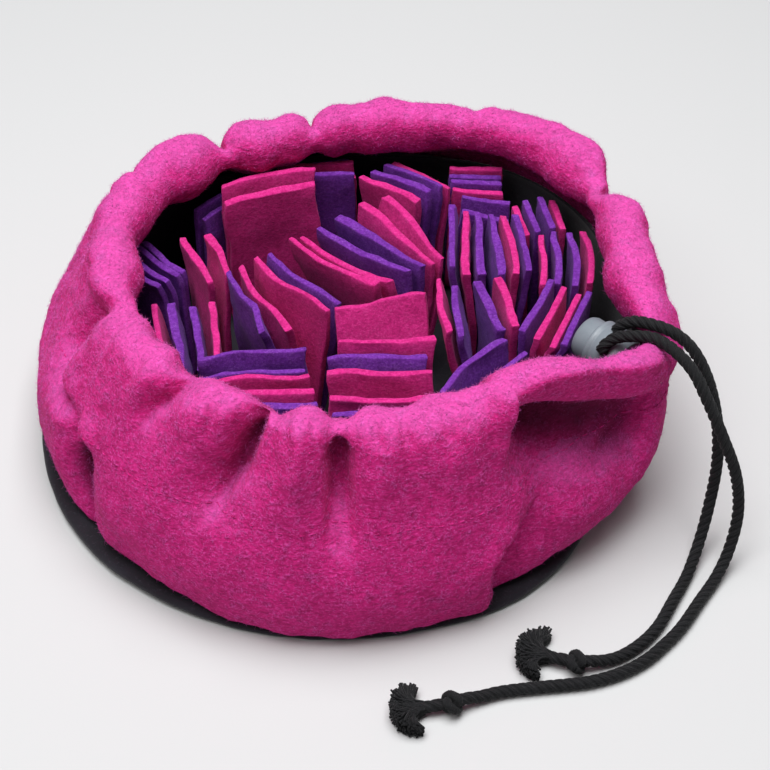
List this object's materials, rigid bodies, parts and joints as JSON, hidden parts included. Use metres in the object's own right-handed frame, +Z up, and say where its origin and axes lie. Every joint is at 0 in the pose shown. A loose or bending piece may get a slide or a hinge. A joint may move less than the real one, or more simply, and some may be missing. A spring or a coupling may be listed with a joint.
{
  "type": "snuffle bowl",
  "caption": "Round drawstring cloth bowl with a gathered wool wall, black lining, upright folded felt strips that hide dry food, and a cord lock on two knotted, frayed cord ends.",
  "frame": {"origin": "centre of the base disc's underside, on the surface that the bowl stands on", "axes": "+Z up, +X towards the cord lock's side, +Y from the front of the bowl to its back"},
  "size_m": [0.2694, 0.283, 0.0934],
  "materials": {
    "pink_wool": "fuzzy boiled wool",
    "black_cloth": "matt woven cloth",
    "pink_felt": "matt pressed felt",
    "purple_felt": "matt pressed felt",
    "grey_plastic": "satin moulded plastic",
    "black_cord": "twisted cord"
  },
  "bodies": {
    "bowl": {"base_disc": "black_cloth", "wall": "pink_wool", "lining": "black_cloth", "felt_front_left_1": "purple_felt", "felt_front_left_2": "purple_felt", "felt_front_left_3": "pink_felt", "felt_front_1": "pink_felt", "felt_near_front_1": "purple_felt", "felt_near_front_2": "pink_felt", "felt_front_right_1": "purple_felt", "felt_inner_left_1": "purple_felt", "felt_inner_left_2": "pink_felt", "felt_left_1": "pink_felt", "felt_left_2": "purple_felt", "felt_left_long_1": "pink_felt", "felt_far_left_1": "purple_felt", "felt_far_left_2": "purple_felt", "felt_corner_1": "purple_felt", "felt_back_left_1": "pink_felt", "felt_back_1": "purple_felt", "felt_back_2": "pink_felt", "felt_back_middle_1": "pink_felt", "felt_back_middle_2": "purple_felt", "felt_back_right_1": "pink_felt", "felt_back_right_2": "purple_felt", "felt_mid_right_1": "purple_felt", "felt_right_back_1": "pink_felt", "felt_right_back_2": "purple_felt", "felt_middle_1": "pink_felt", "felt_middle_2": "pink_felt", "felt_middle_3": "purple_felt", "felt_inner_right_1": "purple_felt", "felt_inner_right_2": "pink_felt", "felt_inner_right_3": "purple_felt", "felt_right_1": "pink_felt", "felt_right_2": "purple_felt", "felt_low_right_1": "pink_felt", "felt_low_right_2": "purple_felt", "felt_lock_side_1": "purple_felt", "felt_lock_side_2": "pink_felt", "lock_barrel": "grey_plastic", "cord_rear": "black_cord", "cord_front": "black_cord", "knot_rear": "black_cord", "knot_front": "black_cord", "tassel_rear": "black_cord", "tassel_front": "black_cord"},
    "button": {"lock_button": "grey_plastic"}
  },
  "joints": [
    {"name": "lock_press", "type": "slide", "parent": "bowl", "child": "button", "axis": [0.7071, -0.7071, 0], "range_m": [0, 0.004], "stiffness_N_per_m": 800, "springref_m": -0.003}
  ]
}
